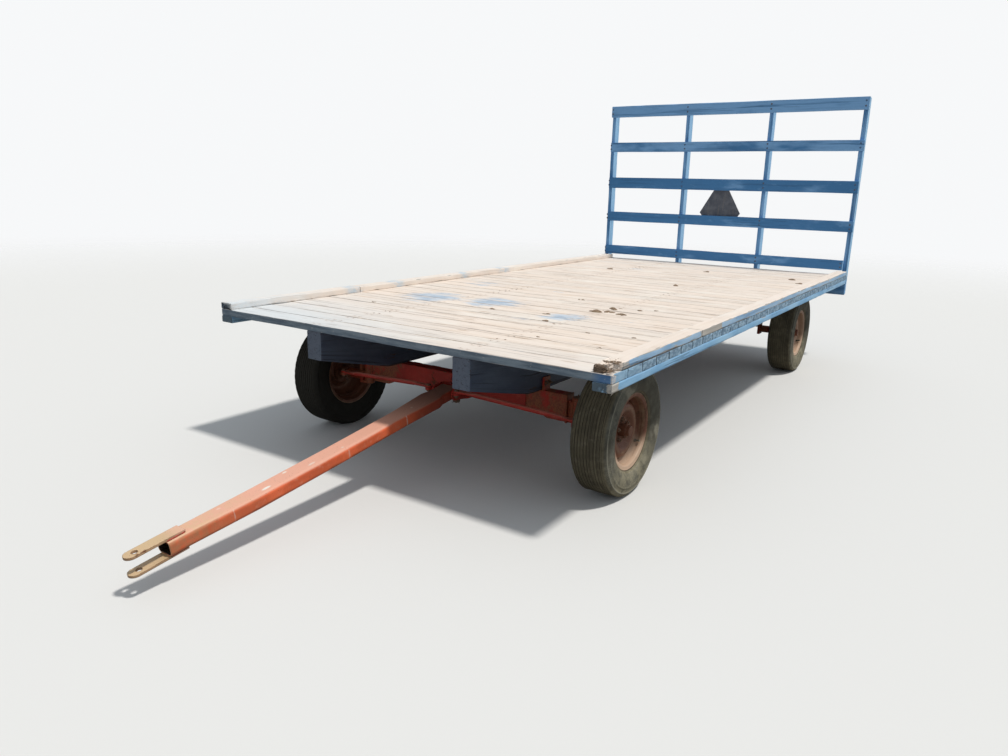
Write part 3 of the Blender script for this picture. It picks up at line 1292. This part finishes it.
def make_tyre(corner, side, centre, radius):
    """A worn tyre; the black one in front is the newest."""
    rows = tyre_profile(radius)
    teeth, segments = 52, 260
    phase = np.random.default_rng(sum(ord(c) for c in corner)).uniform(0, math.tau, 4)

    def worn(out, reach, turn):
        zigzag = 2 * np.abs(((turn * teeth / math.tau) % 1) - 0.5) - 0.5
        on_tread = np.abs(out) < TREAD_HALF - 0.008
        out = out + on_tread * zigzag * 0.0014
        scrub = 0.0016 * np.sin(3 * turn + phase[0]) + 0.0010 * np.sin(7 * turn + phase[1])
        reach = reach - np.where(on_tread, np.abs(scrub), 0)
        lug = (np.abs(out) > 0.083) & (reach > 0.3165) & (np.sin(turn * teeth) > 0.35)
        return out - np.sign(out) * lug * 0.0012, reach - lug * 0.0020

    shape = lathe(rows[:, :2], centre, side, segments, worn)
    values = shape[2]
    out, reach = rows[:, 0], rows[:, 1]
    ridge = (reach > 0.3035) & (reach < 0.3095) & (out > 0.09)
    for name, row in (("groove", rows[:, 2]), ("wall", np.abs(out) > 0.0855), ("ridge", ridge)):
        values[name] = np.tile(row, segments)
    below = np.clip(-np.sin(values["turn"]) * 1.3 - 0.2, 0, 1)
    values["dust"] = below * (values["across"] > 0.08) * 0.55
    values["black"] = np.full(len(below), 0.93 if corner == "front_right" else 0.0)
    finish_mesh(f"tyre_tread_{corner}", shape, "tyre_rubber", f"tyre_{corner}", f"wheel_{corner}")


def make_valve(corner, side, centre):
    """A rubber valve stem with its cap, through the rim's outer ledge."""
    angle = math.radians(-33)
    out = Vector((side, 0, 0))
    radial = Vector((0, math.cos(angle), math.sin(angle)))
    base = centre + out * 0.036 + radial * 0.1715
    tip = base + out * 0.030 - radial * 0.014
    points = [base.lerp(tip, share) for share in (0.0, 0.12, 0.2, 0.62, 0.66, 1.0)]
    vertices, faces, _ = tube_between(points, (0.0080, 0.0078, 0.0052, 0.0042, 0.0050, 0.0044), 12)
    shape = vertices, faces, {"wall": np.ones(len(vertices))}
    finish_mesh(f"valve_{corner}", shape, "tyre_rubber", body=f"wheel_{corner}")


def make_wheel(corner, side):
    """A tyre on its pressed wheel, with nuts, cap and valve."""
    low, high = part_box(f"tyre_{corner}")
    centre = middle(f"tyre_{corner}")
    centre.z = HUB_HEIGHT
    body, out = f"wheel_{corner}", Vector((side, 0, 0))
    make_tyre(corner, side, centre, (high.z - low.z) / 2)
    sections = ((RIM, 96), (DISC, 80))
    steel = join([lathe(soften(loop), centre, side, count, closed=True) for loop, count in sections])
    values = steel[2]
    across, radius, turn = values["across"], values["radius"], values["turn"]
    ridges = np.exp(-((radius - 0.1940) / 0.0030) ** 2)
    ridges += 0.8 * np.exp(-((radius - 0.1725) / 0.0016) ** 2) * (across > 0.04)
    ridges += 0.5 * np.exp(-((radius - 0.1120) / 0.010) ** 2) * (across > 0.03)
    values["ridge"] = np.clip(ridges, 0, 1)
    low_share = np.clip(-np.sin(turn) * 1.6 - 0.35, 0, 1) * (across > 0.015) * (radius > 0.150)
    values["dust"] = np.clip(low_share + (0.45 if "rear" in corner else 0.10), 0, 1)
    finish_mesh(f"rim_steel_{corner}", steel, "rusty_wheel", f"rim_{corner}", body)
    nuts, bolt_circle = [], 0.0555
    for index in range(5):
        angle = math.tau * (index + 0.3) / 5
        spot = centre + Vector((side * 0.018, bolt_circle * math.cos(angle), bolt_circle * math.sin(angle)))
        nuts.append(hexagon_bolt(spot, out, 0.021, 0.014, 0.0145, 0.006, angle))
    finish_mesh(f"wheel_nuts_{corner}", join(nuts), "old_bolts", body=body)
    cap = turned(centre + out * 0.0515, out, DUST_CAP, 40)
    finish_mesh(f"dust_cap_{corner}", cap, "rusty_wheel", body=body, sharp=30)
    dress([f"hub_{corner}"], "rusty_wheel")
    make_valve(corner, side, centre)


# Running gear

sill_low, sill_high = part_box("sill_left")
# The axle beams and the cheeks, as their side plates are called here
BEAM_HALF, BEAM_LOW, BEAM_HIGH = 0.680, sill_low.z - 0.114, sill_low.z
BEAM_FACE, CHEEK_FACE, CHEEK_HALF = 0.032, 0.038, 0.430
# The stakes that stand on the beams against the sills
STAKE_INSIDE, STAKE_FACE, STAKE_BOLT_Z = sill_high.x + 0.001, sill_high.x + 0.014, sill_low.z + 0.039
# The tongue's head turns in a fork on the front beam
HEAD_PIVOT = Vector((0, FRONT_AXLE_Y - 0.072, TONGUE_HINGE.z))
FORK_HALF = 0.0525
# Each tie rod's pins stand in front of the pivots of its knuckle and of the head
KINGPIN_X, ROD_PIN_X, HEAD_ROD_PIN_X = 0.725, 0.820, 0.095
ROD_PIN_BEFORE = 0.125
UP, DOWN = Vector((0, 0, 1)), Vector((0, 0, -1))


def make_axle_fittings():
    """Stake bolts, and welds along the beams, their side plates and the fork."""
    bolts, welds, seed = [], [], 500
    for axle_y in (FRONT_AXLE_Y, REAR_AXLE_Y):
        for side in (-1, 1):
            for offset in (-0.016, 0.016):
                spot = (side * STAKE_FACE, axle_y + offset, STAKE_BOLT_Z)
                bolts.append(hexagon_bolt(spot, (side, 0, 0), 0.019, 0.009, 0.014, 0.006, seed))
                seed += 1
            for face in (-1, 1):
                y = axle_y + face * BEAM_FACE
                for x in (CHEEK_HALF + 0.001, BEAM_HALF - 0.009):
                    low_end, high_end = (side * x, y, BEAM_LOW + 0.004), (side * x, y, BEAM_HIGH - 0.004)
                    welds.append(weld_bead(low_end, high_end, seed))
                    seed += 1
                y = axle_y + face * (CHEEK_FACE - 0.001)
                for z in (BEAM_LOW + 0.001, BEAM_HIGH - 0.001):
                    for x in (0.06, 0.20, 0.34):
                        welds.append(weld_bead((side * x, y, z), (side * (x + 0.06), y, z), seed, 0.0028))
                        seed += 1
            foot = Vector((side * STAKE_INSIDE, axle_y, BEAM_HIGH + 0.001))
            half = Vector((0, 0.030, 0))
            welds.append(weld_bead(foot - half, foot + half, seed))
    fork_y, fork_rise = FRONT_AXLE_Y - CHEEK_FACE - 0.0005, FORK_HALF + 0.0005
    for z in (HEAD_PIVOT.z + fork_rise, HEAD_PIVOT.z - fork_rise):
        for x in (-0.050, 0.010):
            welds.append(weld_bead((x, fork_y, z), (x + 0.040, fork_y, z), seed + int(x * 100)))
    bolts.append(hexagon_bolt(HEAD_PIVOT + UP * FORK_HALF, UP, 0.038, 0.014, 0.026, 0.005))
    bolts.append(hexagon_bolt(HEAD_PIVOT + DOWN * FORK_HALF, DOWN, 0.038, 0.016, 0.026, 0.006, 0.4))
    bolts.append(cotter(HEAD_PIVOT + DOWN * 0.078, (1, 0.4, 0), 0.034))
    low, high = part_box("reach_outer")
    bolts.append(hexagon_bolt((0, low.y + 0.040, high.z - 0.0005), UP, turn=0.3))
    bolts.append(hexagon_bolt((0, low.y + 0.040, low.z + 0.0005), DOWN, head=0.012, thread=0.008, turn=0.8))
    finish_mesh("frame_bolts", join(bolts), "old_bolts")
    finish_mesh("frame_welds", join(welds), "painted_welds")


def make_steering_fittings():
    """Kingpin caps on the knuckles, and the pins at both ends of each tie rod."""
    cap = [(0, 0.021), (0.004, 0.021), (0.0055, 0.019), (0.0055, 0.006)]
    nipple = [(0, 0.0055), (0.004, 0.0055), (0.0045, 0.0030)]
    nipple += [(0.0080, 0.0026), (0.0095, 0.0036), (0.0110, 0.0018)]
    # each pin's x, the y of its pivot, and the heights of its head and its nut
    pin_places = ((ROD_PIN_X, FRONT_AXLE_Y, 0.3745, 0.3490), (HEAD_ROD_PIN_X, HEAD_PIVOT.y, 0.4175, 0.3940))
    for name, side in (("left", 1), ("right", -1)):
        low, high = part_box(f"knuckle_{name}")
        x = side * KINGPIN_X
        kingpin = [
            turned((x, FRONT_AXLE_Y, high.z - 0.0005), UP, cap, 28),
            turned((x, FRONT_AXLE_Y, high.z + 0.0045), UP, nipple, 8),
            turned((x, FRONT_AXLE_Y, low.z + 0.0005), DOWN, cap, 28),
        ]
        finish_mesh(f"kingpin_caps_{name}", join(kingpin), "old_bolts", body=f"knuckle_{name}")
        pins = []
        for x, y, top, under in pin_places:
            spot = (side * x, y - ROD_PIN_BEFORE)
            pins.append(hexagon_bolt((*spot, top), UP, 0.024, 0.008, 0.0, 0.0, x))
            pins.append(hexagon_bolt((*spot, under), DOWN, 0.024, 0.0085, 0.0, 0.004, 0.5 + x))
        if side < 0:
            # a loose wire hangs beside the right rod's outer pin
            hang = Vector((side * (ROD_PIN_X - 0.024), FRONT_AXLE_Y - ROD_PIN_BEFORE, 0))
            wire = [hang + Vector(drop) for drop in ((0, 0, 0.356), (0, 0, 0.330), (0.003, 0, 0.300))]
            pins.append(tube_between(wire, [0.0016] * 3, 6))
        finish_mesh(f"rod_pins_{name}", join(pins), "old_bolts", body=f"tie_rod_{name}")


def make_tongue_fittings():
    """Washers and cotters on the tongue's hinge pin, and the welds of its clevis straps."""
    washer = [(0, 0.0225), (0.0030, 0.0225), (0.0036, 0.0212), (0.0036, 0.012)]
    pins, beads = [], []
    for side in (-1, 1):
        out = Vector((side, 0, 0))
        spot = TONGUE_HINGE + out * 0.0715
        pins.append(turned(spot, out, washer, 28))
        pins.append(cotter(spot + out * 0.0058, (0, 0.3, 1), 0.032))
        for level in (-1, 1):
            edge = TONGUE_HINGE + TONGUE_UP * level * (TONGUE_DEPTH / 2 + 0.0008) + out * 0.0285
            start, end = (edge + TONGUE_FORWARD * (TONGUE_LENGTH - back) for back in (0.078, 0.002))
            beads.append(weld_bead(start, end, 560 + side + level))
    finish_mesh("pitch_pin_washers", join(pins), "old_bolts", body="tongue_head")
    finish_mesh("strap_welds", join(beads), "painted_welds", body="tongue")


make_camera()
make_light()
make_floor()
make_materials()
make_deck()
make_deck_dirt()
make_nails()
for side_name in ("left", "right"):
    make_stringer(side_name)
    make_curb(side_name)
    make_sill(side_name)
make_header()
make_rot()
make_rack()
make_rack_bolts()
make_emblem()
dress(["front_axle", "rear_axle", "reach_outer", "reach_inner", "hound_left", "hound_right"], "red_paint")
dress(["knuckle_left", "knuckle_right", "tongue_head"], "red_paint")
dress(["tie_rod_left", "tie_rod_right"], "rod_paint")
dress(["tongue"], "tongue_paint")
dress(["clevis_strap_upper", "clevis_strap_lower"], "clevis_rust")
make_axle_fittings()
make_steering_fittings()
make_tongue_fittings()
for axle_name in ("front", "rear"):
    make_wheel(f"{axle_name}_left", 1)
    make_wheel(f"{axle_name}_right", -1)

bpy.context.scene.view_settings.view_transform = "Standard"
